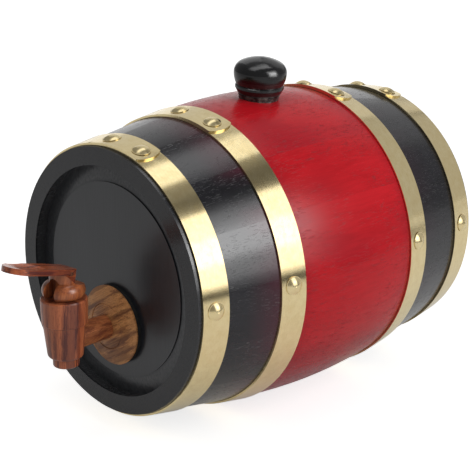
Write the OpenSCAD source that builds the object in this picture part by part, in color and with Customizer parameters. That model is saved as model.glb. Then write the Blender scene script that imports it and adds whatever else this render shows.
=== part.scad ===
// Small oak cask on its side, with a wooden plug tap in the front head and a
// turned bung in the bilge.  Millimetres.  The cask's axis runs along Y, the
// tap points to -Y, +Z is up and +X is the cask's right side seen from the tap.
// The origin is the point of the bilge that touches the ground, below the
// middle of the cask.

/* [Cask] */
// Length over the chimes, from front to rear
cask_len = 212.8; // [190:0.1:270]
// Outer radius of the staves at each chime
chime_r = 72; // [60:0.5:80]
// Outer radius of the staves at the bilge, where the cask is widest
bilge_r = 84.4; // [82:0.1:110]
// Length of the bowed middle; the staves run on straight from there
bow_len = 100; // [60:1:160]
// Thickness of a stave
stave_t = 9.8; // [7:0.1:13]
// Number of staves
stave_count = 16; // [12:1:20]

/* [Heads] */
// Depth of each head's raised panel below the chime
panel_depth = 5.2; // [2:0.1:10]
// Radius of the raised panel
panel_r = 52.7; // [40:0.1:54]
// Height of the turned step round the panel
panel_step = 0.7; // [0.3:0.1:1.5]
// Fall of the bevel from the panel out to the croze
bevel_fall = 1.5; // [0.5:0.1:4]
// Thickness of a head in the middle
head_t = 12; // [9:0.5:18]
// Thickness of the head's tongue in the croze
tongue_t = 4.6; // [3:0.1:6]
// Depth of the croze, the groove in the staves that holds a head
croze_depth = 2.6; // [1.5:0.1:4]
// Width of the bevel on the inner face of a head
back_bevel = 9; // [4:0.5:14]

/* [Hoops] */
// Width of a hoop
hoop_w = 15.3; // [10:0.1:22]
// Thickness of the hoop's brass strip
hoop_t = 1.0; // [0.6:0.1:1.5]
// Distance from a chime to the near edge of its head hoop
head_hoop_at = 2.0; // [0.5:0.1:8]
// Distance from a chime to the near edge of its quarter hoop
quarter_hoop_at = 49.4; // [32:0.5:58]
// Angles from the top, toward +X, to the lapped ends of the hoops, front to rear
lap_turns = [21, 20.5, 18, 17]; // [-60:0.5:60]
// Angle over which the lapped end climbs out of the hoop
lap_arc = 34; // [28:1:50]
// Radius of the rounded lapped end, seen from outside
lap_end_r = 12; // [9:0.5:40]

/* [Rivets and nails] */
// Angles from the lapped end back to the two rivets
rivet_back = [6, 24]; // [4:1:30]
// Angles from the top, toward +X, to the first nails of the hoops, front to rear
nail_starts = [89, 86.5, 85, 85.5]; // [60:0.5:120]
// Angles from the first nail on to each nail
nail_turns = [0, 90, 180]; // [0:1:220]
// Radius of the brim of a domed rivet or nail head
stud_r = 5.0; // [4:0.1:5.5]
// Thickness of the brim
stud_brim_t = 0.25; // [0.2:0.05:0.6]
// Radius of the dome
stud_dome_r = 4.6; // [3:0.1:5]
// Height of a domed head
stud_h = 2.0; // [1:0.1:3]
// Radius of a rivet's shank
rivet_r = 1.6; // [1:0.1:2]
// Radius of a nail's shank
nail_r = 1.2; // [0.8:0.1:1.6]
// Length of a nail's shank in the wood
nail_len = 7; // [4:0.5:8]

/* [Bung] */
// Distance of the bung behind the middle of the cask
bung_y = -1.6; // [-10:0.1:10]
// Roll of the cask that brings its bung from the top toward +X, in degrees
bung_turn = 4.4; // [-10:0.1:10]
// Radius of the bung hole at the outside of the stave
bung_hole_r = 11.1; // [7:0.1:12]
// Radius lost per millimetre of depth by the bung and its hole
bung_taper = 0.06; // [0.02:0.01:0.1]
// Length of the bung below the surface of the stave
bung_depth = 20; // [14:1:26]
// Height of the neck between the stave and the collar
bung_neck_h = 2.4; // [1.5:0.1:8]
// Radius of the collar
bung_collar_r = 13.5; // [12.5:0.1:16]
// Height of the collar
bung_collar_h = 5.2; // [4:0.1:7]
// Radius of the knob
bung_knob_r = 14.6; // [13:0.1:18]
// Height of the knob from the collar to its crown
bung_knob_h = 14.6; // [12:0.1:18]
// Height above the collar at which the knob is widest
bung_wide_at = 6.4; // [4:0.1:8]
// Radius of the knob's rounded side
bung_side_r = 6.2; // [4:0.1:8]
// How far the bung lifts for filling
bung_lift = 45; // [30:1:60]

/* [Tap body] */
// Distance from the chime to the tap's upright axis
tap_reach = 27.8; // [24:0.1:40]
// Distance of the tap's shank below the axis of the cask
tap_drop = 24.6; // [15:0.1:30]
// Radius of the body above its shoulder
tap_r = 12.2; // [11:0.1:16]
// Height of the body above the shank's axis
tap_top = 23.2; // [20:0.1:34]
// Height of the shoulder above the shank's axis
tap_shoulder = 9.8; // [8:0.1:14]
// Depth of the shoulder's step
tap_step = 0.5; // [0.2:0.1:1]
// Radius of the body where it turns in to the spout
tap_foot_r = 9.6; // [9:0.1:12]
// Depth of the body's foot below the shank's axis
tap_foot = 9.2; // [7.5:0.1:14]
// Outer radius of the spout
spout_r = 6.9; // [5.5:0.1:8]
// Length of the spout below the foot
spout_len = 5.1; // [3:0.1:12]
// Radius of the spout's outlet
outlet_r = 3.0; // [1.5:0.1:3.6]
// Distance behind the tap's axis of the flat that the shank meets
flat_at = 5.6; // [5.4:0.1:8]

/* [Tap shank] */
// Radius of the shank where it meets the body
shank_r = 6.8; // [5:0.1:7.4]
// Radius lost per millimetre of length toward the cask
shank_taper = 0.018; // [0.01:0.001:0.05]
// Length of the shank inside the cask
shank_inside = 9; // [4:0.5:20]
// Radius of the shank's tenon in the body
tenon_r = 3.5; // [3:0.1:4.2]
// Radius of the passage through the shank and the key
passage_r = 2.0; // [1:0.1:2.4]

/* [Flange and seal] */
// Radius of the flange
flange_r = 21.7; // [16:0.1:26]
// Thickness of the flange at its edge
flange_edge_t = 0.8; // [0.5:0.1:3]
// Thickness of the flange at the turned ring
flange_ring_t = 3.5; // [2.5:0.1:6]
// Radius of the turned ring
ring_r = 12.2; // [9:0.1:14]
// Thickness of the flange at its hub
hub_t = 4.4; // [3.6:0.1:7]
// Thickness of the rubber seal behind the flange
seal_t = 2.4; // [1:0.1:4]
// How much smaller than the flange the seal's radius is
seal_inset = 0.2; // [-1:0.1:3]

/* [Key and lever] */
// Turn of the key at rest, from straight out toward +X
key_turn = 8; // [-60:1:60]
// Turn of the key from rest that brings its port to the shank's passage
port_turn = 90; // [45:1:135]
// Radius of the key's plug at the top of the body
plug_r = 5.6; // [5:0.1:6.5]
// Radius lost per millimetre of depth by the plug
plug_taper = 0.048; // [0.02:0.001:0.06]
// Depth of the plug below the shank's axis
plug_foot = 6; // [4:0.1:6.5]
// Gap between the top of the body and the bell
bell_gap = 1.1; // [0.5:0.1:2]
// Radius of the bell at its widest
bell_r = 11.3; // [9:0.1:13]
// Radius of the bell's shoulder
bell_round_r = 4.8; // [4:0.1:8]
// Height of the widest place above the bell's foot
bell_wide_at = 3.2; // [2:0.1:4]
// Radius of the neck between the bell and the lever
neck_r = 7.2; // [6.5:0.1:8.5]
// Width of the slot in the front of the bell
slot_w = 7.4; // [3:0.1:8]
// Height of the slot above the bell's foot
slot_h = 10.6; // [8:0.1:11]
// Distance in front of the axis at which the slot ends
slot_to = 3.6; // [3.3:0.1:6]
// Height of the lever's underside above the bell's foot, at the axis
lever_up = 12.2; // [11:0.1:14]
// Slope of the lever up toward its tip, in degrees
lever_tilt = 15; // [0:0.5:20]
// Distance from the axis to the lever's tip
lever_len = 40; // [25:0.5:60]
// Distance from the axis to the back of the lever
lever_back = 4.4; // [4:0.1:7]
// Half the width of the lever at the thumb rest
lever_half_w = 8.7; // [7:0.1:12]
// Half the width of the lever at its back
lever_back_half_w = 5.6; // [4.5:0.1:8]
// Thickness of the lever
lever_t = 3.0; // [2:0.1:5]
// Depth of the dished thumb rest
dish_depth = 1.1; // [0.3:0.1:1.5]
// Radius of the dished thumb rest, seen from above
dish_r = 10.2; // [6:0.1:12]
// Depth of the lever's block below its underside
block_drop = 4.4; // [3:0.1:6]
// Radius of the key's stem in the lever
stem_r = 2.6; // [2:0.1:3]
// Wood left in the lever above the stem
stem_cover = 0.9; // [0.6:0.1:1.2]
// Radius of the dowel that pins the lever to the stem
dowel_r = 1.15; // [0.8:0.05:1.3]
// Depth of the dowel's axis below the stem's end
dowel_down = 1.6; // [1.4:0.1:2.5]

/* [Fits] */
// Gap between pieces that are driven or glued together
fit = 0.05; // [0.02:0.01:0.1]
// Radial clearance round the turning key
running = 0.05; // [0.02:0.01:0.1]

/* [Hidden] */
$fn = 96;
eps = 0.01;
far = 400;

half = cask_len / 2;
bow_half = bow_len / 2;
wedge = 360 / stave_count;
axis_z = bilge_r;

// Half the tangent of the end slope: the bow turns through that slope over
// bow_half and the straight ends carry it on to the chime.
function half_tan(drop, curved, straight, rounds = 12, t = 0) =
    rounds == 0 ? t
    : half_tan(drop, curved, straight, rounds - 1,
               drop / (curved + 2 * straight / (1 - t * t)));
end_slope = 2 * atan(half_tan(bilge_r - chime_r, bow_half, half - bow_half));
bow_r = bow_half / sin(end_slope);

// Where a surface parallel to the outside, at a depth of inset, stops bowing
function bow_end(inset) = (bow_r - inset) * sin(end_slope);

// Radius of that surface at a distance y from the middle of the cask
function cask_r(y, inset = 0) =
    let (a = bow_end(inset), d = abs(y))
    d <= a
        ? bilge_r - bow_r + sqrt(pow(bow_r - inset, 2) - d * d)
        : bilge_r - bow_r + (bow_r - inset) * cos(end_slope)
          - (d - a) * tan(end_slope);

// Croze and head edge, as depths below the chime
tongue_at = panel_depth + panel_step + bevel_fall;
croze_r = cask_r(half - tongue_at - tongue_t / 2, stave_t) + croze_depth;

// Hoops: a chord across the bow stands this far off the staves
hoop_off = hoop_w * hoop_w / (8 * bow_r) + fit;
HOOPS = [
    ["front_head_hoop", half - head_hoop_at, half - head_hoop_at - hoop_w,
     lap_turns[0], nail_starts[0]],
    ["front_quarter_hoop", half - quarter_hoop_at, half - quarter_hoop_at - hoop_w,
     lap_turns[1], nail_starts[1]],
    ["rear_quarter_hoop", -half + quarter_hoop_at, -half + quarter_hoop_at + hoop_w,
     lap_turns[2], nail_starts[2]],
    ["rear_head_hoop", -half + head_hoop_at, -half + head_hoop_at + hoop_w,
     lap_turns[3], nail_starts[3]],
];

// Each hoop's entry ends with the angles of its lapped end and its first nail
function nail_angles(h) = [for (a = nail_turns) h[4] + a];
function rivet_angles(h) = [for (a = rivet_back) h[3] - a];

function hoop_mid(h) = (h[1] + h[2]) / 2;
function hoop_r(h) = (cask_r(h[1]) + cask_r(h[2])) / 2 + hoop_off;
function hoop_slope(h) = atan((cask_r(h[2]) - cask_r(h[1])) / (h[1] - h[2]));

// The lap leaves the hoop at lap_arc from its end, on a circle set off by this
lap_shift = hoop_t / (1 - cos(lap_arc));

// Tap: its frame stands where the shank's axis crosses the upright axis
tap_y = -half - tap_reach;
tap_z = axis_z - tap_drop;
panel_y = tap_reach + panel_depth;
shank_end = panel_y + head_t + shank_inside;
function shank_radius(y) = shank_r - (y - flat_at) * shank_taper;
function plug_radius(z) = plug_r - (tap_top - z) * plug_taper;
bell_z = tap_top + bell_gap;
lever_z = bell_z + lever_up;
stem_top = lever_z + lever_t - stem_cover;
dowel_z = stem_top - dowel_down;

// Bung: heights above the surface of the stave
collar_z = bung_neck_h;
knob_z = collar_z + bung_collar_h;

function two(n) = n < 10 ? str("0", n) : str(n);
function stave_name(k) = k == 0 ? "bung_stave" : str("stave_", two(k + 1));

// ---------------------------------------------------------------- frames

// Local +Z runs to the front chime and local +Y points up
module on_cask_axis() {
    translate([0, 0, axis_z]) rotate([90, 0, 0]) children();
}

// Local +Z points straight out of a hoop, at an angle from the top toward +X
module on_hoop(h, angle) {
    on_cask_axis()
        rotate([0, 0, 90 - angle])
            translate([hoop_r(h), 0, hoop_mid(h)])
                rotate([0, 90 - hoop_slope(h), 0])
                    children();
}

module at_tap() {
    translate([0, tap_y, tap_z]) children();
}

// Local -Y runs along the key's slot and lever
module at_key() {
    at_tap() rotate([0, 0, key_turn]) children();
}

// The lever's own frame: its underside is local Z = 0
module at_lever() {
    translate([0, 0, lever_z]) rotate([-lever_tilt, 0, 0]) children();
}

// Local +Z runs along the shank into the cask
module along_shank() {
    rotate([-90, 0, 0]) children();
}

// ---------------------------------------------------------------- cask

// Half section of the space inside a surface parallel to the cask's outside
module cask_section(inset) {
    a = bow_end(inset);
    intersection() {
        translate([bilge_r - bow_r, 0]) circle(bow_r - inset, $fn = 720);
        translate([0, -a]) square([bilge_r + 1, 2 * a]);
    }
    polygon([
        [0, -half], [cask_r(half, inset), -half], [cask_r(a, inset), -a],
        [cask_r(a, inset), a], [cask_r(half, inset), half], [0, half],
    ]);
}

module stave_section() {
    difference() {
        cask_section(0);
        intersection() {
            cask_section(stave_t);
            square([far, 2 * far], center = true);
        }
        for (side = [-1, 1])
            translate([0, side * (half - tongue_at - tongue_t / 2)])
                square([2 * croze_r, tongue_t + 2 * fit], center = true);
    }
}

// Local +Z is the bung's axis and local Z = 0 lies on the bilge
module at_bung() {
    translate([0, 0, axis_z])
        rotate([0, bung_turn, 0])
            translate([0, bung_y, bilge_r])
                children();
}

// The bung's cone between two depths below the surface of the stave
module bung_cone(clearance, top, bottom) {
    translate([0, 0, -bottom])
        cylinder(
            h = bottom - top,
            r1 = bung_hole_r - bottom * bung_taper + clearance,
            r2 = bung_hole_r - top * bung_taper + clearance
        );
}

module nail_holes(angle) {
    for (h = HOOPS, a = nail_angles(h))
        if (abs((a - angle + 900) % 360 - 180) < wedge / 2 + 3)
            on_hoop(h, a)
                translate([0, 0, -nail_len - fit])
                    cylinder(h = nail_len + 1, r = nail_r + fit);
}

// Stave k, counted round from the one with the bung hole
module stave(k) {
    color([0.48, 0.02, 0.04])
        difference() {
            on_cask_axis()
                rotate([0, 0, 90 - bung_turn - (k + 0.5) * wedge])
                    rotate_extrude(angle = wedge) stave_section();
            if (k == 0)
                at_bung() bung_cone(0, -stave_t, 2 * stave_t);
            nail_holes(bung_turn + k * wedge);
        }
}

// A head with its outer face to local +Z: raised panel, step, bevel and tongue
module head_solid() {
    edge_r = croze_r - fit;
    bevel_r = cask_r(half - tongue_at, stave_t) - 4 * fit;
    back_r = cask_r(half - tongue_at - tongue_t, stave_t) - 4 * fit;
    rotate_extrude()
        polygon([
            [0, half - panel_depth],
            [panel_r, half - panel_depth],
            [panel_r, half - panel_depth - panel_step],
            [bevel_r, half - tongue_at],
            [edge_r, half - tongue_at],
            [edge_r, half - tongue_at - tongue_t],
            [back_r, half - tongue_at - tongue_t],
            [back_r - back_bevel, half - panel_depth - head_t],
            [0, half - panel_depth - head_t],
        ]);
}

module front_head() {
    color([0.10, 0.10, 0.11])
        difference() {
            on_cask_axis() head_solid();
            at_tap() along_shank() shank_cone(fit, panel_y - 1, panel_y + head_t + 1);
        }
}

module rear_head() {
    color([0.10, 0.10, 0.11])
        on_cask_axis() mirror([0, 0, 1]) head_solid();
}

// ---------------------------------------------------------------- hoops

// Half section of a hoop between two distances from its inner face
module hoop_section(h, from, to) {
    low = cask_r(h[1]) + hoop_off;
    high = cask_r(h[2]) + hoop_off;
    polygon([[low + from, h[1]], [high + from, h[2]], [high + to, h[2]], [low + to, h[1]]]);
}

// The lapped end seen from outside: it ends at x = 0 in a rounded edge
module lap_outline(length) {
    intersection() {
        union() {
            translate([-lap_end_r, 0]) circle(lap_end_r);
            translate([-length, -hoop_w]) square([length - lap_end_r, 2 * hoop_w]);
        }
        translate([-length, -hoop_w]) square([length + 1, 2 * hoop_w]);
    }
}

// The strip's lapped end: it lies on an eccentric cone that rises from the hoop
module hoop_lap(h) {
    low = cask_r(h[1]) + hoop_off + 2 * hoop_t - lap_shift;
    high = cask_r(h[2]) + hoop_off + 2 * hoop_t - lap_shift;
    rotate([0, 0, 90 - h[3]])
        intersection() {
            translate([lap_shift, 0, 0])
                rotate_extrude()
                    polygon([[0, h[1]], [low, h[1]], [high, h[2]], [0, h[2]]]);
            rotate_extrude() hoop_section(h, hoop_t / 2, 4 * hoop_t);
            translate([0, 0, hoop_mid(h)])
                rotate([0, 90, 0])
                    rotate([0, 0, -90])
                        linear_extrude(2 * hoop_r(h))
                            lap_outline(hoop_r(h) * sin(lap_arc - 3));
        }
}

module hoop(h) {
    color([0.83, 0.70, 0.42])
        difference() {
            on_cask_axis() {
                rotate_extrude() hoop_section(h, 0, hoop_t);
                hoop_lap(h);
            }
            for (a = rivet_angles(h))
                on_hoop(h, a)
                    cylinder(h = 6 * hoop_t, r = rivet_r + fit, center = true);
            for (a = nail_angles(h))
                on_hoop(h, a)
                    cylinder(h = 6 * hoop_t, r = nail_r + fit, center = true);
        }
}

// Height of the lapped strip's outer face above the hoop's inner face
function lap_height(h, angle) =
    let (back = h[3] - angle, r = hoop_r(h) + 2 * hoop_t - lap_shift)
    lap_shift * cos(back) + sqrt(r * r - pow(lap_shift * sin(back), 2)) - hoop_r(h);

// Domed head with a thin brim, which stands on local Z = 0
module stud_head() {
    rise = stud_h - stud_brim_t;
    ball_r = (stud_dome_r * stud_dome_r + rise * rise) / (2 * rise);
    cylinder(h = stud_brim_t, r = stud_r);
    intersection() {
        translate([0, 0, stud_h - ball_r]) sphere(ball_r);
        cylinder(h = stud_h + 1, r = stud_r);
    }
}

module hoop_rivets() {
    color([0.86, 0.74, 0.46])
        for (h = HOOPS, a = rivet_angles(h)) {
            top = lap_height(h, a) + fit;
            on_hoop(h, a) {
                translate([0, 0, top]) stud_head();
                translate([0, 0, fit]) cylinder(h = top, r = rivet_r);
            }
        }
}

module hoop_nails() {
    color([0.86, 0.74, 0.46])
        for (h = HOOPS, a = nail_angles(h))
            on_hoop(h, a) {
                translate([0, 0, hoop_t + fit]) stud_head();
                translate([0, 0, -nail_len])
                    cylinder(h = nail_len + hoop_t + 2 * fit, r = nail_r);
            }
}

// ---------------------------------------------------------------- bung

// Points along an arc
function arc(centre, r, from, to, steps) =
    [for (i = [0 : steps])
        let (a = from + (to - from) * i / steps) centre + r * [cos(a), sin(a)]];

// Half section of the bung: plug, neck, collar and a knob of three tangent arcs
module bung_section() {
    wide_z = knob_z + bung_wide_at;
    rise = bung_knob_h - bung_wide_at;
    side_x = bung_knob_r - bung_side_r;
    cap_r = (side_x * side_x + rise * rise - bung_side_r * bung_side_r)
            / (2 * (rise - bung_side_r));
    join = atan2(cap_r - rise, side_x);
    polygon(concat(
        [
            [0, -bung_depth],
            [bung_hole_r - bung_depth * bung_taper - fit - 0.8, -bung_depth],
            [bung_hole_r - (bung_depth - 0.8) * bung_taper - fit, -bung_depth + 0.8],
            [bung_hole_r - fit, 0],
            [bung_hole_r + 0.5, collar_z - 0.5],
            [bung_hole_r, collar_z - 0.2],
            [bung_hole_r, collar_z + 0.2],
            [bung_hole_r + 1, collar_z + 0.5],
            [bung_collar_r, collar_z + 0.6 * bung_collar_h],
            [bung_collar_r - 0.1, knob_z - 0.9],
            [bung_collar_r - 0.7, knob_z - 0.25],
        ],
        arc([0, wide_z], bung_knob_r, -asin(bung_wide_at / bung_knob_r), 0, 6),
        arc([side_x, wide_z], bung_side_r, 8, join, 8),
        arc([0, wide_z + rise - cap_r], cap_r, join + 3, 87, 7),
        [[0, wide_z + rise]]
    ));
}

module bung() {
    color([0.05, 0.05, 0.06])
        at_bung() rotate_extrude() bung_section();
}

// ---------------------------------------------------------------- tap

// The shank's cone, in its own frame, between two distances from the tap's axis
module shank_cone(clearance, from, to) {
    translate([0, 0, from])
        cylinder(
            h = to - from,
            r1 = shank_radius(from) + clearance,
            r2 = shank_radius(to) + clearance
        );
}

// The reamed socket that the key's plug turns in
module plug_cone(clearance, bottom, top) {
    translate([0, 0, bottom])
        cylinder(
            h = top - bottom,
            r1 = plug_radius(bottom) + clearance,
            r2 = plug_radius(top) + clearance
        );
}

module tap_seal() {
    color([0.03, 0.03, 0.03])
        at_tap() along_shank()
            difference() {
                translate([0, 0, panel_y - seal_t])
                    cylinder(h = seal_t, r = flange_r - seal_inset);
                shank_cone(fit, panel_y - seal_t - 1, panel_y + 1);
            }
}

module tap_flange() {
    back = panel_y - seal_t;
    line = 0.35;
    color([0.72, 0.52, 0.33])
        at_tap() along_shank()
            difference() {
                rotate_extrude()
                    polygon([
                        [0, back],
                        [flange_r, back],
                        [flange_r, back - flange_edge_t],
                        [(flange_r + ring_r) / 2, back - (flange_edge_t + flange_ring_t) / 2 - 0.35],
                        [ring_r + line, back - flange_ring_t],
                        [ring_r, back - flange_ring_t + line],
                        [ring_r - line, back - flange_ring_t],
                        [shank_radius(back - hub_t) + 1.5, back - hub_t],
                        [0, back - hub_t],
                    ]);
                shank_cone(fit, back - hub_t - 1, back + 1);
            }
}

module tap_shank() {
    color([0.55, 0.27, 0.12])
        at_tap()
            difference() {
                along_shank()
                    union() {
                        shank_cone(0, flat_at + fit, shank_end);
                        cylinder(h = flat_at + 1, r = tenon_r);
                    }
                plug_cone(running, -plug_foot - 2, tap_top);
                translate([0, -far, 0]) cube(2 * far, center = true);
                along_shank() cylinder(h = far, r = passage_r);
            }
}

// Points round a quarter circle, from level with its centre to straight below
function corner(centre, r, steps = 6) =
    [for (i = [0 : steps]) centre + r * [cos(90 * i / steps), -sin(90 * i / steps)]];

// Half section of the tap's body: head, shoulder, tapered waist, foot and spout
module tap_body_section() {
    foot_round = 2.2;
    lip_round = 1.2;
    polygon(concat(
        [
            [0, tap_top],
            [tap_r - 0.5, tap_top],
            [tap_r, tap_top - 0.7],
            [tap_r, (tap_top + tap_shoulder) / 2],
            [tap_r - 0.3, tap_shoulder],
            [tap_r - 0.3 - tap_step, tap_shoulder - 0.5],
        ],
        corner([tap_foot_r - foot_round, -tap_foot + foot_round], foot_round),
        [[spout_r, -tap_foot]],
        corner([spout_r - lip_round, -tap_foot - spout_len + lip_round], lip_round),
        [[0, -tap_foot - spout_len]]
    ));
}

module tap_body() {
    color([0.50, 0.21, 0.13])
        at_tap()
            difference() {
                rotate_extrude() tap_body_section();
                plug_cone(running, -plug_foot - running, tap_top + 1);
                translate([0, 0, -tap_foot - spout_len - 1])
                    cylinder(h = tap_foot + spout_len, r = outlet_r);
                translate([-far / 2, flat_at, -tap_foot])
                    cube([far, far, tap_foot + tap_shoulder - 0.5]);
                along_shank() cylinder(h = far, r = tenon_r + fit);
            }
}

// Half section of the bell and neck above the plug
module bell_section() {
    intersection() {
        union() {
            translate([bell_r - bell_round_r, bell_z + bell_wide_at]) circle(bell_round_r);
            translate([0, bell_z]) square([bell_r - bell_round_r, bell_wide_at + bell_round_r]);
            translate([0, bell_z]) square([neck_r, lever_up + 4]);
        }
        translate([0, bell_z]) square([far, far]);
    }
}

// Side view of what the lever and its block take away from the bell
module lever_seat_outline() {
    polygon([
        [-far, -fit], [-5, -fit], [2.6, -block_drop - fit],
        [far, -block_drop - fit], [far, far], [-far, far],
    ]);
}

// Extrudes a side view, drawn as [y, z], across X
module across(width) {
    translate([-width / 2, 0, 0])
        rotate([90, 0, 90]) linear_extrude(width) children();
}

module bell_slot() {
    arch = slot_w / 2;
    rotate([90, 0, 0])
        translate([0, 0, slot_to])
            linear_extrude(2 * bell_r) {
                translate([0, bell_z + slot_h - arch]) circle(arch);
                translate([-arch, bell_z - 1]) square([slot_w, slot_h - arch + 1]);
            }
}

module tap_key() {
    color([0.62, 0.33, 0.17])
        at_key()
            difference() {
                union() {
                    plug_cone(0, -plug_foot + 0.3, bell_z + eps);
                    difference() {
                        rotate_extrude() bell_section();
                        at_lever() across(far) lever_seat_outline();
                        bell_slot();
                    }
                    translate([0, 0, bell_z]) cylinder(h = stem_top - bell_z, r = stem_r);
                }
                // passage: in at the side, down and out
                rotate([0, 0, -key_turn - port_turn]) along_shank()
                    cylinder(h = far, r = passage_r);
                translate([0, 0, -plug_foot - 1]) cylinder(h = plug_foot + 1, r = passage_r);
                translate([0, 0, dowel_z]) rotate([0, 90, 0])
                    cylinder(h = 4 * stem_r, r = dowel_r + fit, center = true);
            }
}

// The lever seen from above: a long waist that widens to a round thumb end
module lever_outline() {
    wide_y = -lever_len * 0.65;
    run = lever_back - wide_y;
    side_r = (run * run) / (2 * (lever_half_w - lever_back_half_w));
    corner = 1.3;
    intersection() {
        translate([lever_half_w - side_r, wide_y]) circle(side_r, $fn = 720);
        translate([side_r - lever_half_w, wide_y]) circle(side_r, $fn = 720);
        union() {
            translate([0, lever_half_w - lever_len]) circle(lever_half_w);
            polygon([
                [-lever_half_w, lever_half_w - lever_len],
                [-lever_half_w, lever_back - corner - 8],
                [-lever_back_half_w - 0.6, lever_back - corner],
                [-lever_back_half_w + corner, lever_back],
                [lever_back_half_w - corner, lever_back],
                [lever_back_half_w + 0.6, lever_back - corner],
                [lever_half_w, lever_back - corner - 8],
                [lever_half_w, lever_half_w - lever_len],
            ]);
        }
    }
}

module tap_lever() {
    ball_r = (dish_r * dish_r + dish_depth * dish_depth) / (2 * dish_depth);
    dish_y = -lever_len + 2.4 + dish_r;
    block_half_w = lever_back_half_w - 0.6;
    color([0.52, 0.22, 0.12])
        at_key()
            difference() {
                at_lever()
                    difference() {
                        union() {
                            linear_extrude(lever_t) lever_outline();
                            across(2 * block_half_w)
                                polygon([
                                    [-5, eps], [2.6, -block_drop],
                                    [lever_back, -block_drop], [lever_back, eps],
                                ]);
                        }
                        translate([0, dish_y, lever_t + ball_r - dish_depth])
                            sphere(ball_r, $fn = 180);
                    }
                translate([0, 0, bell_z]) cylinder(h = stem_top + fit - bell_z, r = stem_r + fit);
                translate([0, 0, dowel_z]) rotate([0, 90, 0])
                    cylinder(h = far, r = dowel_r + fit, center = true);
            }
}

module lever_dowel() {
    wide_y = -lever_len * 0.65;
    run = lever_back - wide_y;
    side_r = (run * run) / (2 * (lever_half_w - lever_back_half_w));
    width = 2 * (lever_half_w - wide_y * wide_y / (2 * side_r)) - 0.2;
    color([0.40, 0.28, 0.18])
        at_key()
            translate([0, 0, dowel_z]) rotate([0, 90, 0])
                cylinder(h = width, r = dowel_r, center = true);
}

// ---------------------------------------------------------------- model

for (k = [0 : stave_count - 1])
    stave(k);
front_head();
rear_head();
for (h = HOOPS)
    hoop(h);
hoop_rivets();
hoop_nails();
bung();
tap_seal();
tap_flange();
tap_shank();
tap_body();
tap_key();
tap_lever();
lever_dowel();
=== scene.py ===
"""Looks and studio for a small lacquered cask with brass hoops and a wooden tap.

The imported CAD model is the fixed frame, and it holds every piece of the cask
and the tap.  This script gives each CAD node its finish and builds the studio.
Lengths are metres.  The cask lies with its axis along Y, at the height of
AXIS_Z, and its tap is at the -Y end.
"""

from __future__ import annotations

import logging
import math
from dataclasses import dataclass
from enum import Enum
from typing import ClassVar, Protocol, TypeAlias

import bpy
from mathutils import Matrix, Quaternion, Vector


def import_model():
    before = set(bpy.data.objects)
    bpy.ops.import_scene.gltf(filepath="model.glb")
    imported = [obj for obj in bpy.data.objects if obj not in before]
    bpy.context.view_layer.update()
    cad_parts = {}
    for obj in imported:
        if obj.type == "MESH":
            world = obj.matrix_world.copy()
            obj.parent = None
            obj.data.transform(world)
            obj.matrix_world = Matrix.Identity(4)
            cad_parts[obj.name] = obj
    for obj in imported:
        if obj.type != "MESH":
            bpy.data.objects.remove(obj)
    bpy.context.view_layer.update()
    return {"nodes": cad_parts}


log = logging.getLogger("cask")

Color: TypeAlias = tuple[float, float, float]
Span: TypeAlias = tuple[float, float]  # the value where a mask is 0, then where it is 1
Value: TypeAlias = "Socket | float | tuple[float, ...]"

BILGE_R = 0.0844  # radius of the cask in the middle
AXIS_Z = BILGE_R  # the cask rests on its bilge
ARC_R = 0.078  # radius at which an angle round the cask becomes a length
BULGE = 1.095  # fall of the skin's radius, for the square of the distance from the middle
LEAN = math.radians(4.4)  # how far the staves and the bung are rolled to the right
STAVE_COUNT = 16
WHITE = (1.0, 1.0, 1.0)


# ------------------------------------------------------------------ shader maths


class Ray(Enum):
    """The kinds of ray that a shader can tell apart."""

    CAMERA = "Is Camera Ray"
    SHADOW = "Is Shadow Ray"
    GLOSSY = "Is Glossy Ray"
    THROUGH = "Is Transmission Ray"


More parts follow.
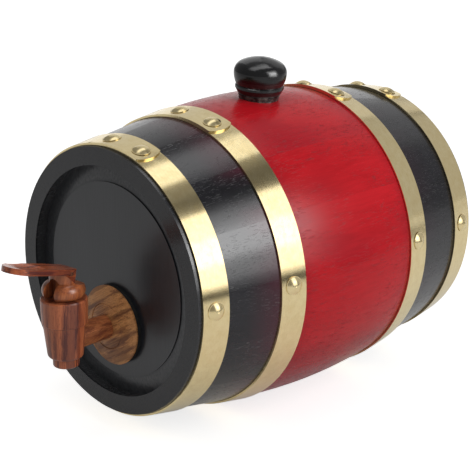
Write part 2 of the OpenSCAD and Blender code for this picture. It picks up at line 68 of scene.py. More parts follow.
class Graph:
    """The node tree of a material or of the world, with one method for any node."""

    def __init__(self, owner: bpy.types.Material | bpy.types.World) -> None:
        """Empties the tree.

        Args:
            owner: The material or world that holds the tree.
        """
        owner.use_nodes = True
        self.owner = owner
        self.tree = owner.node_tree
        self.tree.nodes.clear()

    def node(self, kind: str, out: int | str = 0, *,
             props: dict[str, str] | None = None, **inputs: Value) -> Socket:
        """Adds a node and returns one of its outputs.

        Args:
            kind: The node's type, without the leading ShaderNode.
            out: Name or index of the output to return.
            props: Properties set on the node before its inputs.
            **inputs: Values or sockets, by input name with underscores for
                spaces, or by index as i0, i1 and so on.

        Returns:
            The output, wrapped.
        """
        made = self.tree.nodes.new("ShaderNode" + kind)
        for key, value in (props or {}).items():
            setattr(made, key, value)
        for key, value in inputs.items():
            if key[0] == "i" and key[1:].isdigit():
                target = made.inputs[int(key[1:])]
            else:
                target = made.inputs[key.replace("_", " ")]
            self.feed(target, value)
        return Socket(self, made.outputs[out])

    def feed(self, target: bpy.types.NodeSocket, value: Value) -> None:
        """Links or sets one input.

        Args:
            target: The input.
            value: A wrapped output, a number or a tuple.
        """
        if isinstance(value, Socket):
            self.tree.links.new(value.out, target)
        elif target.type == "RGBA":
            target.default_value = (*value, 1.0)
        else:
            target.default_value = value

    def position(self) -> Socket:
        """Returns the point's place in the model, from Object coordinates."""
        return self.node("TexCoord", "Object")

    def ray(self, kind: Ray) -> Socket:
        """Returns 1 for rays of one kind and 0 for others."""
        return self.node("LightPath", kind.value)

    def math(self, operation: str, *operands: Value) -> Socket:
        """Applies a Math node.

        Args:
            operation: The node's operation.
            *operands: Its inputs in order.

        Returns:
            The result.
        """
        inputs = {f"i{k}": value for k, value in enumerate(operands)}
        return self.node("Math", props={"operation": operation}, **inputs)

    def combine(self, x: Value, y: Value, z: Value) -> Socket:
        """Returns a vector of three values."""
        return self.node("CombineXYZ", X=x, Y=y, Z=z)

    def random(self, seed: Value) -> Socket:
        """Returns a random value between 0 and 1 for each value of seed."""
        return self.node("TexWhiteNoise", props={"noise_dimensions": "1D"}, W=seed)

    def mix(self, factor: Value, low: Value, high: Value) -> Socket:
        """Mixes two colours.

        Args:
            factor: 0 gives low, 1 gives high.
            low: First colour.
            high: Second colour.

        Returns:
            The mixed colour.
        """
        # a Mix node set to colour has its colours at inputs 6 and 7 and at output 2
        return self.node("Mix", 2, props={"data_type": "RGBA"}, i0=factor, i6=low, i7=high)

    def close(self, kind: str, shader: Socket) -> None:
        """Links a shader to the tree's output.

        Args:
            kind: Material or World.
            shader: The shader.
        """
        end = self.tree.nodes.new("ShaderNodeOutput" + kind)
        self.tree.links.new(shader.out, end.inputs["Surface"])

    def finish(self, color: Value, rough: Value, height: Value, depth: float,
               **extra: Value) -> bpy.types.Material:
        """Closes the tree with a Principled shader.

        Args:
            color: Base colour.
            rough: Roughness.
            height: Height of the surface for a bump, about 0 to 1.
            depth: Height in metres that a height of 1 stands for.
            **extra: Further inputs of the shader, by name.

        Returns:
            The material.
        """
        bump = self.node("Bump", Strength=1.0, Distance=depth, Height=height)
        shader = self.node("BsdfPrincipled", Base_Color=color, Roughness=rough, **extra,
                           Normal=bump)
        self.close("Material", shader)
        return self.owner


@dataclass(frozen=True)
class Socket:
    """A node's output with arithmetic that adds Math nodes."""

    graph: Graph
    out: bpy.types.NodeSocket

    def __add__(self, other: Value) -> Socket:
        """Returns the sum."""
        return self.graph.math("ADD", self, other)

    def __radd__(self, other: Value) -> Socket:
        """Returns the sum with this value second."""
        return self.graph.math("ADD", other, self)

    def __sub__(self, other: Value) -> Socket:
        """Returns the difference."""
        return self.graph.math("SUBTRACT", self, other)

    def __rsub__(self, other: Value) -> Socket:
        """Returns the difference with this value second."""
        return self.graph.math("SUBTRACT", other, self)

    def __mul__(self, other: Value) -> Socket:
        """Returns the product."""
        return self.graph.math("MULTIPLY", self, other)

    def __rmul__(self, other: Value) -> Socket:
        """Returns the product with this value second."""
        return self.graph.math("MULTIPLY", other, self)

    def __abs__(self) -> Socket:
        """Returns the value without its sign."""
        return self.graph.math("ABSOLUTE", self)

    def floor(self) -> Socket:
        """Returns the whole number below."""
        return self.graph.math("FLOOR", self)

    def root(self) -> Socket:
        """Returns the square root."""
        return self.graph.math("SQRT", self)

    def at_most(self, limit: float) -> Socket:
        """Returns the value or the limit, whichever is lower."""
        return self.graph.math("MINIMUM", self, limit)

    def step(self, low: float, high: float, to_low: Value = 0.0,
             to_high: Value = 1.0) -> Socket:
        """Remaps this value smoothly and clamps it.

        Args:
            low: Value that gives to_low.
            high: Value that gives to_high.
            to_low: Result at low.
            to_high: Result at high.

        Returns:
            The remapped value.
        """
        # a Map Range node's inputs 1 to 4 are its two ranges
        return self.graph.node("MapRange", props={"interpolation_type": "SMOOTHSTEP"},
                               Value=self, i1=low, i2=high, i3=to_low, i4=to_high)

    def parts(self) -> tuple[Socket, Socket, Socket]:
        """Returns the three parts of a vector."""
        split = self.graph.node("SeparateXYZ", Vector=self).out.node
        return tuple(Socket(self.graph, part) for part in split.outputs)


@dataclass(frozen=True)
class Figure:
    """A fractal noise, which a squeeze below 1 draws out along that coordinate."""

    scale: float
    squeeze: tuple[float, float, float] = (1.0, 1.0, 1.0)
    octaves: float = 3.0
    rough: float = 0.55
    warp: float = 0.0

    def at(self, graph: Graph, x: Value, y: Value, z: Value, shift: float = 0.0) -> Socket:
        """Reads the noise at a place.

        Args:
            graph: The material that asks.
            x: First coordinate.
            y: Second coordinate.
            z: Third coordinate.
            shift: Added to the third coordinate, so that two pieces differ.

        Returns:
            The noise, between 0 and 1.
        """
        place = [value if factor == 1.0 else value * factor
                 for value, factor in zip((x, y, z), self.squeeze)]
        if shift:
            place[2] = place[2] + shift
        return graph.node("TexNoise", Vector=graph.combine(*place), Scale=self.scale,
                          Detail=self.octaves, Roughness=self.rough, Distortion=self.warp)


@dataclass(frozen=True)
class Belt:
    """A mask that is 1 between two places and fades out beside them."""

    rise: Span
    fall: Span

    def mask(self, value: Socket) -> Socket:
        """Returns the mask of a coordinate."""
        return value.step(*self.rise) * value.step(*self.fall)


# ------------------------------------------------------------------ finishes


class Finish(Protocol):
    """Anything that builds a material."""

    def build(self) -> bpy.types.Material:
        """Returns the material."""


@dataclass(frozen=True)
class CaskPlace:
    """Where a point is on the cask: angle from the top, distance along, radius."""

    angle: Socket
    along: Socket
    radius: Socket

    @classmethod
    def of(cls, graph: Graph) -> CaskPlace:
        """Reads the place from Object coordinates.

        Args:
            graph: The material that asks.

        Returns:
            The place.
        """
        x, y, z = graph.position().parts()
        up = z - AXIS_Z
        return cls(angle=graph.math("ARCTAN2", x, up), along=y, radius=(x * x + up * up).root())


@dataclass(frozen=True)
class StaveWood:
    """The figure of the staves' wood, which differs from stave to stave."""

    own: Socket  # a random value for each stave
    cloud: Socket  # broad soft figure
    grain: Socket
    fibre: Socket
    drift: Socket  # where pores are many and where they are few
    pore: Socket  # short open pores
    patch: Socket  # where the red stain is thicker

    # any numbers that set the staves apart
    SEED_STEP: ClassVar[float] = 7.31
    SEED_START: ClassVar[float] = 3.7
    OWN_SHIFT: ClassVar[float] = 3.0

    DASHES: ClassVar[Span] = (0.595, 0.68)
    CROWDED: ClassVar[Span] = (0.36, 0.56)

    @classmethod
    def of(cls, graph: Graph, place: CaskPlace) -> StaveWood:
        """Reads the figure, drawn out along the stave.

        Args:
            graph: The material that asks.
            place: The place on the cask.

        Returns:
            The figure.
        """
        stave = ((place.angle - LEAN) * (STAVE_COUNT / math.tau) + 0.5).floor()
        own = graph.random(stave * cls.SEED_STEP + cls.SEED_START)
        spot = (graph, place.angle * ARC_R + own * cls.OWN_SHIFT, place.along, place.radius)
        drift = Figure(75.0, (1.0, 0.4, 1.0), 2.0).at(*spot)
        dash = Figure(2100.0, (1.0, 0.075, 1.0), 1.0, 0.4).at(*spot)
        return cls(
            own=own,
            cloud=Figure(42.0, (1.0, 0.16, 1.0), 3.0).at(*spot),
            grain=Figure(820.0, (1.0, 0.07, 1.0), 4.0, 0.62, 0.25).at(*spot),
            fibre=Figure(2300.0, (1.0, 0.035, 1.0), 2.0, 0.6).at(*spot),
            drift=drift,
            pore=dash.step(*cls.DASHES) * drift.step(*cls.CROWDED),
            patch=Figure(26.0, (1.0, 0.8, 1.0), 1.0).at(*spot),
        )


@dataclass(frozen=True)
class StaveFinish:
    """Stained oak under clear lacquer: red between the quarter hoops, black outside."""

    red: Color = (0.338, 0.0062, 0.0108)
    red_deep: Color = (0.252, 0.0034, 0.0066)
    red_pore: Color = (0.120, 0.0020, 0.0045)
    red_edge: Color = (0.160, 0.0040, 0.0110)
    black: Color = (0.0036, 0.0036, 0.0046)
    black_worn: Color = (0.0100, 0.0092, 0.0122)
    red_tint: Color = (0.0420, 0.0045, 0.0120)
    fleck: Color = (0.120, 0.118, 0.124)
    chime_grey: Color = (0.030, 0.031, 0.034)
    # painted light: a paler grey for the shaded wall round each head
    wall_painted_light: Color = (0.060, 0.062, 0.066)
    oak: Color = (0.420, 0.270, 0.140)
    oak_dark: Color = (0.270, 0.150, 0.070)

    # distances from the middle of the cask
    border: float = 0.0497  # where red meets black, below the quarter hoops
    border_blur: float = 0.0008
    darkening: Span = (0.0340, 0.0510)  # the red darkens towards the border
    darkening_wander: float = 0.004
    hoop_shadow: Span = (0.0483, 0.0493)  # painted shadow line on the red along each quarter hoop's edge
    haze: Span = (0.0800, 0.0520)  # reddish tint on the black near the quarter hoops
    chime: Span = (0.1045, 0.1062)
    interior: Span = (0.0920, 0.0900)
    front: Span = (0.0100, -0.0300)  # along the axis, towards the tap

    # depths below the skin
    bare_depth: Span = (0.0016, 0.0024)
    wall_depth: Span = (0.0060, 0.0080)

    # values of the wood's figure at which each layer fades in
    bright_figure: Span = (0.34, 0.62)
    thick_figure: Span = (0.46, 0.74)
    worn_figure: Span = (0.35, 0.70)
    hazy_figure: Span = (0.34, 0.58)
    pale_figure: Span = (0.50, 0.62)
    oak_figure: Span = (0.35, 0.65)

    # strength of each layer
    darkening_share: float = 0.55
    thick_share: float = 0.42
    pore_share: float = 0.5
    hoop_shadow_share: float = 0.85
    haze_share: float = 0.85
    chime_share: float = 0.5

    # gloss of the lacquer
    black_coat: float = 0.52
    red_coat: float = 0.06
    coat_rough: float = 0.20
    base_rough: float = 0.19
    shine: float = 0.16
    relief: float = 0.00004

    def build(self) -> bpy.types.Material:
        """Returns the material for every stave."""
        g = Graph(bpy.data.materials.new("stave_lacquer"))
        place = CaskPlace.of(g)
        wood = StaveWood.of(g, place)
        far = abs(place.along)
        centre = far.step(self.border + self.border_blur, self.border - self.border_blur)
        chime = far.step(*self.chime)
        color = g.mix(centre, self.black_stain(g, wood, place, chime), self.red_stain(g, wood, far))
        # bare oak in the bung hole and inside, and painted light on the shaded wall round each head: a
        # paler grey that makes it look lit
        depth = BILGE_R - far * far * BULGE - place.radius
        interior = far.step(*self.interior)
        bare = depth.step(*self.bare_depth) * interior
        color = g.mix(bare, color, g.mix(wood.grain.step(*self.oak_figure), self.oak, self.oak_dark))
        wall = depth.step(*self.wall_depth) * (1.0 - interior) * (1.0 - chime)
        color = g.mix(wall * (0.5 + wood.cloud * 0.6), color, self.wall_painted_light)
        coat = (self.black_coat - centre * (self.black_coat - self.red_coat)) * (1.0 - bare)
        rough = self.base_rough + wood.fibre * 0.06 + wood.cloud * 0.04 + wood.pore * 0.3 + bare * 0.3
        height = wood.grain * 0.30 + wood.fibre * 0.25 - wood.pore * 1.8
        return g.finish(color, rough, height, self.relief, Coat_Weight=coat,
                        Coat_Roughness=self.coat_rough, Specular_IOR_Level=self.shine)

    def red_stain(self, g: Graph, wood: StaveWood, far: Socket) -> Socket:
        """Mixes the red of the middle, with a painted shadow line along the quarter hoops.

        Args:
            g: The material.
            wood: The wood's figure.
            far: Distance from the middle of the cask.

        Returns:
            The colour.
        """
        tone = wood.cloud * 0.42 + wood.grain * 0.46 + wood.own * 0.12
        red = g.mix(tone.step(*self.bright_figure), self.red_deep, self.red)
        # the red darkens towards the quarter hoops
        near_border = (far + wood.cloud * self.darkening_wander).step(*self.darkening)
        red = g.mix(near_border * self.darkening_share, red, self.red_edge)
        thick = wood.patch.step(*self.thick_figure)
        red = g.mix(thick * self.thick_share, red, self.red_edge)
        red = g.mix(wood.pore * self.pore_share, red, self.red_pore)
        # painted shadow: a dark line on the red along each quarter hoop's edge
        return g.mix(far.step(*self.hoop_shadow) * self.hoop_shadow_share, red, self.black)

    def black_stain(self, g: Graph, wood: StaveWood, place: CaskPlace, chime: Socket) -> Socket:
        """Mixes the black of the ends, with the red haze and the pale pores.

        Args:
            g: The material.
            wood: The wood's figure.
            place: The place on the cask.
            chime: Mask of the cask's end faces.

        Returns:
            The colour.
        """
        front = place.along.step(*self.front)
        worn = (wood.grain * 0.6 + wood.cloud * 0.4).step(*self.worn_figure)
        black = g.mix(worn, self.black, self.black_worn)
        hazy = abs(place.along).step(*self.haze) * (0.15 + front * 0.85)
        hazy = hazy * wood.cloud.step(*self.hazy_figure)
        # a reddish tint on the black near the quarter hoops, mostly at the tap end
        black = g.mix(hazy * self.haze_share, black, self.red_tint)
        pale = wood.pore * wood.drift.step(*self.pale_figure)
        pale = pale * (0.2 + wood.own * 0.4) * (0.2 + front * 0.8)
        black = g.mix(pale, black, self.fleck)
        return g.mix(chime * self.chime_share, black, self.chime_grey)


@dataclass(frozen=True)
class HeadFinish:
    """Black stained boards with upright grain, rubbed grey on the bevel."""

    dark: Color = (0.0088, 0.0100, 0.0132)
    light: Color = (0.0160, 0.0177, 0.0222)
    rubbed: Color = (0.062, 0.064, 0.068)
    bevel: Span = (0.0528, 0.0543)  # radii, just outside the raised panel
    light_figure: Span = (0.32, 0.68)
    rubbed_figure: Span = (0.25, 0.75)
    base_rough: float = 0.24
    coat: float = 0.3
    coat_rough: float = 0.22
    relief: float = 0.00004

    def build(self) -> bpy.types.Material:
        """Returns the material for both heads."""
        g = Graph(bpy.data.materials.new("head_lacquer"))
        x, y, z = g.position().parts()
        lines = Figure(900.0, (1.0, 1.0, 0.05), 4.0, 0.65, 0.3).at(g, x, y, z)
        cloud = Figure(40.0, (1.0, 1.0, 0.4), 3.0).at(g, x, y, z)
        mottle = Figure(900.0, (1.0, 1.0, 0.6), 3.0, 0.7).at(g, x, y, z)
        color = g.mix((lines * 0.6 + cloud * 0.4).step(*self.light_figure), self.dark, self.light)
        bevel = CaskPlace.of(g).radius.step(*self.bevel)
        color = g.mix(bevel * mottle.step(*self.rubbed_figure), color, self.rubbed)
        rough = self.base_rough + lines * 0.10 + mottle * 0.08
        return g.finish(color, rough, lines * 0.5 + mottle * 0.4, self.relief,
                        Coat_Weight=self.coat, Coat_Roughness=self.coat_rough)


@dataclass(frozen=True)
class BrassFinish:
    """Rolled brass with brushing round the hoop, soft waves and dull spots."""

    name: str
    rough: float = 0.11
    brushing: float = 1.0
    bright: Color = (0.95, 0.800, 0.465)
    dull: Color = (0.86, 0.690, 0.360)
    dull_figure: Span = (0.3, 0.7)
    spot_figure: Span = (0.58, 0.78)
    relief: float = 0.00016

    def build(self) -> bpy.types.Material:
        """Returns the material."""
        g = Graph(bpy.data.materials.new(self.name))
        place = CaskPlace.of(g)
        around = place.angle * ARC_R
        brush = Figure(5200.0, (0.03, 1.0, 1.0), 2.0, 0.7).at(g, around, place.along, place.radius)
        wave = Figure(26.0, (1.0, 0.7, 1.0), 1.0).at(g, around, place.along, 0.0)
        stain = Figure(260.0, octaves=4.0, rough=0.65).at(g, around, place.along, place.radius)
        color = g.mix((brush * 0.35 + stain * 0.65).step(*self.dull_figure), self.bright, self.dull)
        rough = self.rough + brush * 0.08 * self.brushing + stain.step(*self.spot_figure) * 0.05
        height = brush * 0.08 * self.brushing + wave * 0.40 + stain * 0.01
        return g.finish(color, rough, height, self.relief, Metallic=1.0)


@dataclass(frozen=True)
class TurnedWood:
    """Oiled hardwood with dark streaks along its grain."""

    name: str
    light: Color
    middle: Color
    dark: Color
    grain: tuple[float, float, float]  # direction of the grain
    band: float  # dark lines in a metre across the grain
    gloss: float  # roughness of the oiled wood
    coat: float
    seed: float
    vein: float = 0.6
    coat_rough: float = 0.16
    shine: float = 0.30
    wander: float = 0.0025  # how far the lines stray from straight
    middle_figure: Span = (0.36, 0.64)
    line_figure: Span = (0.52, 0.64)
    shade_figure: Span = (0.465, 0.575)
    pore_figure: Span = (0.62, 0.70)
    pore_share: float = 0.5
    pore_tone: float = 0.4  # of the dark colour
    relief: float = 0.00006

    def build(self) -> bpy.types.Material:
        """Returns the material."""
        g = Graph(bpy.data.materials.new(self.name))
        upright = Vector(self.grain).to_track_quat("Z", "Y").inverted().to_euler()
        local = g.node("VectorRotate", props={"rotation_type": "EULER_XYZ"},
                       Vector=g.position(), Rotation=tuple(upright))
        u, v, w = local.parts()
        warp = Figure(60.0, (1.0, 1.0, 0.3), 2.0).at(g, u, v, w, self.seed) * self.wander
        rings = Figure(self.band, (1.0, 1.0, 0.05), 3.0, 0.5).at(g, u + warp, v + warp, w, self.seed)
        broad = Figure(self.band * 0.42, (1.0, 1.0, 0.09), 1.5).at(g, u + warp, v - warp, w, -self.seed)
        streak = Figure(1700.0, (1.0, 1.0, 0.04), 3.0, 0.65).at(g, u, v, w, self.seed)
        dash = Figure(3000.0, (1.0, 1.0, 0.12), 1.0, 0.5).at(g, u, v, w, self.seed)
        pore = dash.step(*self.pore_figure)
        tone = (rings * 0.5 + streak * 0.5).step(*self.middle_figure)
        color = g.mix(tone, self.light, self.middle)
        line = (rings + (streak - 0.5) * 0.30).step(*self.line_figure)
        shade = (broad + (streak - 0.5) * 0.20).step(*self.shade_figure)
        color = g.mix((line * 0.5 + shade * 0.75).at_most(1.0) * self.vein, color, self.dark)
        deepest = tuple(part * self.pore_tone for part in self.dark)
        color = g.mix(pore * self.pore_share, color, deepest)
        return g.finish(color, self.gloss + streak * 0.16, streak * 0.5 - pore * 0.6, self.relief,
                        Coat_Weight=self.coat, Coat_Roughness=self.coat_rough,
                        Specular_IOR_Level=self.shine)


@dataclass(frozen=True)
class BungLacquer:
    """Black gloss lacquer on turned wood, worn red and grey on the rings."""

    black: Color = (0.0025, 0.0025, 0.0030)
    black_thin: Color = (0.0060, 0.0060, 0.0066)
    worn_red: Color = (0.034, 0.0110, 0.0110)
    worn_grey: Color = (0.070, 0.066, 0.064)
    worn_neck: Color = (0.105, 0.085, 0.078)
    wood: Color = (0.30, 0.175, 0.085)
    wood_dark: Color = (0.16, 0.080, 0.036)

    # heights on the leaning bung
    plug: Span = (0.1684, 0.1676)
    neck: Belt = Belt((0.1672, 0.1682), (0.1722, 0.1712))
    foot: Span = (0.1745, 0.1738)
    ring: Belt = Belt((0.1750, 0.1758), (0.1776, 0.1768))
    waist: Belt = Belt((0.1765, 0.1772), (0.1796, 0.1786))

    scuff_figure: Span = (0.50, 0.66)
    neck_figure: Span = (0.42, 0.62)
    wood_figure: Span = (0.35, 0.65)
    base_rough: float = 0.14
    coat: float = 0.15
    coat_rough: float = 0.10
    shine: float = 0.42
    relief: float = 0.00007

    def build(self) -> bpy.types.Material:
        """Returns the material for the bung."""
        g = Graph(bpy.data.materials.new("bung_lacquer"))
        x, y, z = g.position().parts()
        swirl = Figure(700.0, (0.5, 0.5, 1.0), 3.0, 0.6).at(g, x, y, z)
        patch = Figure(420.0, octaves=4.0, rough=0.7).at(g, x, y, z)
        fibre = Figure(1500.0, (1.0, 1.0, 0.06), 3.0, 0.6).at(g, x, y, z)
        up = z + x * math.tan(LEAN)
        neck = self.neck.mask(up)
        plug = up.step(*self.plug)
        band = up.step(*self.foot) * (1.0 - neck) + self.waist.mask(up)
        scuff = patch.step(*self.scuff_figure)
        color = g.mix(patch, self.black, self.black_thin)
        color = g.mix(band * (0.30 + scuff * 0.6), color, self.worn_red)
        color = g.mix(self.ring.mask(up) * scuff * 0.8, color, self.worn_grey)
        color = g.mix(neck * patch.step(*self.neck_figure) * 0.9, color, self.worn_neck)
        bare = g.mix(fibre.step(*self.wood_figure), self.wood, self.wood_dark)
        color = g.mix(plug, color, bare)
        rough = self.base_rough + swirl * 0.08 + (band + neck) * 0.20 + plug * 0.36
        return g.finish(color, rough, swirl * 0.4 + patch * 0.5, self.relief,
                        Coat_Weight=self.coat, Coat_Roughness=self.coat_rough,
                        Specular_IOR_Level=self.shine)


@dataclass(frozen=True)
class SealRubber:
    """Matt black rubber with a little dust."""

    black: Color = (0.008, 0.008, 0.008)
    dusty: Color = (0.020, 0.020, 0.019)
    dust_figure: Span = (0.4, 0.8)
    rough: float = 0.62
    relief: float = 0.00004

    def build(self) -> bpy.types.Material:
        """Returns the material for the seal."""
        g = Graph(bpy.data.materials.new("seal_rubber"))
        x, y, z = g.position().parts()
        grit = Figure(4200.0, octaves=3.0, rough=0.7).at(g, x, y, z)
        dust = Figure(240.0, octaves=3.0).at(g, x, y, z)
        color = g.mix(dust.step(*self.dust_figure), self.black, self.dusty)
        return g.finish(color, self.rough + grit * 0.2, grit, self.relief)


# ------------------------------------------------------------------ assemblies


@dataclass
class Assembly:
    """CAD nodes that take their finish from the last word of their names."""

    nodes: dict[str, bpy.types.Object]

    def finishes(self) -> dict[str, Finish]:
        """Returns the finish for each last word."""
        raise NotImplementedError

    def dress(self) -> int:
        """Gives each node its finish and reports it.

        Returns:
            How many nodes were dressed.
        """
        finishes = self.finishes()
        materials = {finish: finish.build() for finish in dict.fromkeys(finishes.values())}
        count = 0
        for name, node in self.nodes.items():
            word = name.rstrip("_0123456789").rsplit("_", 1)[-1]
            if word in finishes:
                material = materials[finishes[word]]
                paint(node, material)
                log.info("%s: %s in %s", type(self).__name__, name, material.name)
                count += 1
        return count


@dataclass
class Cask(Assembly):
    """The staves, heads, hoops, rivets, nails and bung."""

    def finishes(self) -> dict[str, Finish]:
        """Returns the finish for each last word."""
        studs = BrassFinish("stud_brass", rough=0.22, brushing=0.3)
        return {
            "stave": StaveFinish(),
            "head": HeadFinish(),
            "hoop": BrassFinish("hoop_brass"),
            "rivets": studs,
            "nails": studs,
            "bung": BungLacquer(),
        }


@dataclass
class Tap(Assembly):
    """The plug tap with its seal, flange and pinned lever."""

    key_turn: float = math.radians(8.0)
    lever_tilt: float = math.radians(15.0)

    def finishes(self) -> dict[str, Finish]:
        """Returns the finish for each last word."""
        lever = Vector((math.sin(self.key_turn), -math.cos(self.key_turn), math.sin(self.lever_tilt)))
        return {
            "seal": SealRubber(),
            "flange": TurnedWood(
                "flange_wood", light=(0.630, 0.300, 0.108), middle=(0.440, 0.180, 0.064),
                dark=(0.120, 0.042, 0.021), grain=(1.0, 0.0, 0.6), band=430.0,
                gloss=0.42, coat=0.08, seed=1.7, vein=0.8),
            "shank": TurnedWood(
                "shank_wood", light=(0.500, 0.175, 0.060), middle=(0.310, 0.085, 0.032),
                dark=(0.110, 0.026, 0.014), grain=(0.2, 1.0, 0.1), band=520.0,
                gloss=0.36, coat=0.12, seed=4.1),
            "body": TurnedWood(
                "body_wood", light=(0.450, 0.135, 0.053), middle=(0.290, 0.074, 0.031),
                dark=(0.060, 0.014, 0.013), grain=(0.05, 0.0, 1.0), band=270.0,
                gloss=0.24, coat=0.30, seed=2.3, vein=0.9),
            "key": TurnedWood(
                "key_wood", light=(0.370, 0.115, 0.038), middle=(0.240, 0.062, 0.022),
                dark=(0.120, 0.034, 0.016), grain=(0.2, 0.1, 1.0), band=620.0,
                gloss=0.22, coat=0.30, seed=6.4),
            "lever": TurnedWood(
                "lever_wood", light=(0.430, 0.110, 0.036), middle=(0.230, 0.048, 0.020),
                dark=(0.064, 0.015, 0.013), grain=tuple(lever.normalized()), band=330.0,
                gloss=0.16, coat=0.7, seed=8.9, vein=0.9),
            "dowel": TurnedWood(
                "dowel_wood", light=(0.12, 0.040, 0.018), middle=(0.08, 0.026, 0.012),
                dark=(0.020, 0.008, 0.006), grain=(1.0, 0.0, 0.0), band=900.0,
                gloss=0.42, coat=0.1, seed=5.0),
        }


def paint(piece: bpy.types.Object, material: bpy.types.Material) -> None:
    """Puts one material in all of a piece's slots.

    Args:
        piece: The object.
        material: The material.
    """
    if not piece.data.materials:
        piece.data.materials.append(material)
    for slot in piece.material_slots:
        slot.material = material


# ------------------------------------------------------------------ studio


@dataclass(frozen=True)
class PhotoCamera:
    """The camera that took the view, as fitted to the cask's circles."""

    place: tuple[float, float, float] = (0.569337, -0.554621, 0.340041)
    toward: tuple[float, float, float] = (-0.69065, 0.65640, -0.30355)
    focal_px: float = 1461.83
    frame_px: int = 470
    sensor_mm: float = 36.0
    nearest: float = 0.01
    farthest: float = 50.0

    def build(self) -> None:
        """Adds the camera and makes it the scene's."""
        data = bpy.data.cameras.new("photo_camera")
        data.sensor_fit = "HORIZONTAL"
        data.sensor_width = self.sensor_mm
        data.lens = self.sensor_mm * self.focal_px / self.frame_px
        data.clip_start = self.nearest
        data.clip_end = self.farthest
        camera = bpy.data.objects.new("photo_camera", data)
        bpy.context.collection.objects.link(camera)
        camera.location = self.place
        camera.rotation_euler = Vector(self.toward).to_track_quat("-Z", "Y").to_euler()
        bpy.context.scene.camera = camera


class Receiver(Enum):
    """Which pieces a lamp lights."""

    ALL = "all"
    WOOD = "wood"
    BRASS = "brass"


@dataclass(frozen=True)
class Stand:
    """A rectangle that stands off the cask and faces its middle; angles in degrees."""

    name: str
    azimuth: float  # from +Y towards +X
    elevation: float
    distance: float
    size: tuple[float, float]

    @property
    def away(self) -> Vector:
        """The direction from the cask's middle to the rectangle."""
        a, e = math.radians(self.azimuth), math.radians(self.elevation)
        return Vector((math.sin(a) * math.cos(e), math.cos(a) * math.cos(e), math.sin(e)))

    @property
    def place(self) -> Vector:
        """The middle of the rectangle."""
        return Vector((0.0, 0.0, AXIS_Z)) + self.away * self.distance


@dataclass(frozen=True)
class Lamp(Stand):
    """A soft rectangular lamp."""

    power: float
    receiver: Receiver = Receiver.ALL
    turn: float = 0.0  # degrees about its own axis

    def build(self, groups: dict[Receiver, bpy.types.Collection]) -> None:
        """Adds the lamp.

        Args:
            groups: The pieces of each kind, for lamps that light one kind.
        """
        data = bpy.data.lights.new(self.name, "AREA")
        data.shape = "RECTANGLE"
        data.size, data.size_y = self.size
        data.energy = self.power
        lamp = bpy.data.objects.new(self.name, data)
        bpy.context.collection.objects.link(lamp)
        lamp.location = self.place
        facing = (-self.away).to_track_quat("-Z", "Y")
        spin = Quaternion((0.0, 0.0, 1.0), math.radians(self.turn))
        lamp.rotation_euler = (facing @ spin).to_euler()
        if self.receiver in groups:
            lamp.light_linking.receiver_collection = groups[self.receiver]


@dataclass(frozen=True)
class Card(Stand):
    """A card that reflections and soft light see, and the camera and shadows don't."""

    glow: float = 0.0

    def build(self) -> None:
        """Adds the card as a piece of the stage."""
        bpy.ops.mesh.primitive_plane_add(size=1.0)
        card = bpy.context.active_object
        card.name = self.name
        card.scale = (*self.size, 1.0)
        card.location = self.place
        card.rotation_euler = (-self.away).to_track_quat("Z", "Y").to_euler()
        g = Graph(bpy.data.materials.new(self.name))
        seen = g.node("Emission", Color=WHITE, Strength=self.glow)
        clear = g.node("BsdfTransparent")
        hidden = g.ray(Ray.CAMERA) + g.ray(Ray.SHADOW)
        g.close("Material", g.node("MixShader", i0=hidden, i1=seen, i2=clear))
        paint(card, g.owner)


@dataclass(frozen=True)
class Floor:
    """A pale floor, lit and shadowed, and raised to white where it is seen."""

    width: float = 8.0
    tone: float = 0.80
    seen_glow: float = 0.75
    mirrored_glow: float = 0.18

    def build(self) -> None:
        """Adds the floor as a piece of the stage."""
        bpy.ops.mesh.primitive_plane_add(size=self.width)
        floor = bpy.context.active_object
        floor.name = "floor"
        g = Graph(bpy.data.materials.new("floor_white"))
        lit = g.node("BsdfDiffuse", Color=(self.tone,) * 3)
        mirrored = (g.ray(Ray.GLOSSY) + g.ray(Ray.THROUGH)) * self.mirrored_glow
        raised = g.node("Emission", Color=WHITE,
                        Strength=g.ray(Ray.CAMERA) * self.seen_glow + mirrored)
        g.close("Material", g.node("AddShader", i0=lit, i1=raised))
        paint(floor, g.owner)


@dataclass(frozen=True)
class Surroundings:
    """Even light from all round, which the camera sees as white."""

    ambient: float = 0.36
    mirrored: float = 0.24
    seen: float = 1.0

    def build(self) -> None:
        """Makes the scene's world."""
        world = bpy.data.worlds.new("studio")
        g = Graph(world)
        strength = g.ray(Ray.GLOSSY).step(0.0, 1.0, self.ambient, self.mirrored)
        strength = g.ray(Ray.THROUGH).step(0.0, 1.0, strength, self.seen)
        strength = g.ray(Ray.CAMERA).step(0.0, 1.0, strength, self.seen)
        g.close("World", g.node("Background", Color=WHITE, Strength=strength))
        bpy.context.scene.world = world


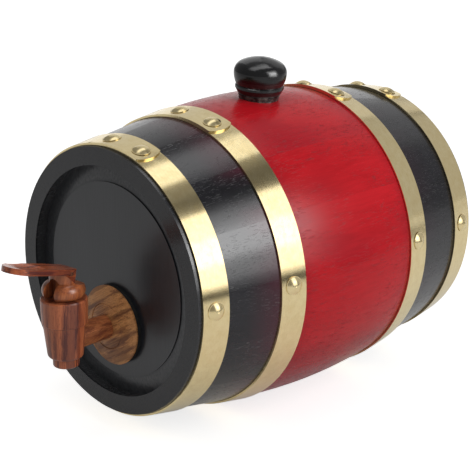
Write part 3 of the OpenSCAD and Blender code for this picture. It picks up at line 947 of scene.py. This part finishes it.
@dataclass(frozen=True)
class Studio:
    """Pale floor, even surroundings and soft lamps, some only for wood or for brass."""

    nodes: dict[str, bpy.types.Object]
    lamps: tuple[Lamp, ...] = (
        Lamp("right_box", 75.0, 24.0, 1.3, (0.90, 1.26), 4.9),
        Lamp("right_core", 75.0, 22.0, 1.25, (0.56, 0.40), 0.55),
        Lamp("right_wood", 77.5, 23.0, 1.3, (0.84, 1.12), 8.7, Receiver.WOOD),
        Lamp("core_wood", 72.5, 25.5, 1.25, (0.62, 0.46), 5.2, Receiver.WOOD),
        Lamp("top_box", 225.0, 88.0, 1.20, (0.46, 1.36), 2.0, turn=45.0),
        Lamp("top_wood", 250.0, 86.0, 1.20, (0.56, 1.36), 2.9, Receiver.WOOD, turn=70.0),
        Lamp("upper_wood", -16.0, 33.0, 1.6, (1.20, 1.00), 1.25, Receiver.WOOD),
        Lamp("back_wall", -48.0, 4.0, 1.8, (1.30, 1.00), 2.8),
        Lamp("left_sheet", -56.0, 36.0, 1.6, (0.60, 0.80), 0.8, Receiver.WOOD),
        Lamp("rear_brass", 14.0, 15.0, 1.9, (1.70, 1.40), 1.5, Receiver.BRASS),
        Lamp("left_brass", -42.0, 40.0, 1.6, (1.50, 1.10), 1.8, Receiver.BRASS),
    )
    cards: tuple[Card, ...] = (
        Card("gap_card", 42.0, 55.5, 1.15, (0.42, 0.23), glow=0.12),
        Card("table_edge", 66.0, -6.2, 0.50, (0.70, 0.048)),
    )

    def build(self) -> None:
        """Adds the world, the lamps, the cards and the floor."""
        Surroundings().build()
        groups = self.sort_pieces()
        for lamp in self.lamps:
            lamp.build(groups)
        for card in self.cards:
            card.build()
        Floor().build()
        bpy.context.scene.view_settings.view_transform = "Standard"
        log.info("Studio: %d lamps and %d cards", len(self.lamps), len(self.cards))

    def sort_pieces(self) -> dict[Receiver, bpy.types.Collection]:
        """Groups the pieces by kind for the lamps.

        Returns:
            The collection of wooden pieces and that of brass ones.
        """
        groups = {kind: bpy.data.collections.new("lit_" + kind.value)
                  for kind in (Receiver.WOOD, Receiver.BRASS)}
        for name, node in self.nodes.items():
            kind = Receiver.BRASS if "hoop" in name else Receiver.WOOD
            groups[kind].objects.link(node)
        return groups


def main() -> None:
    """Loads the frame, dresses the model and builds the studio."""
    logging.basicConfig(level=logging.INFO, format="%(message)s")
    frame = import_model()
    nodes = frame["nodes"]
    dressed = Cask(nodes).dress() + Tap(nodes).dress()
    log.info("dressed %d of %d nodes", dressed, len(nodes))
    PhotoCamera().build()
    Studio(nodes).build()


if __name__ == "__main__":
    main()
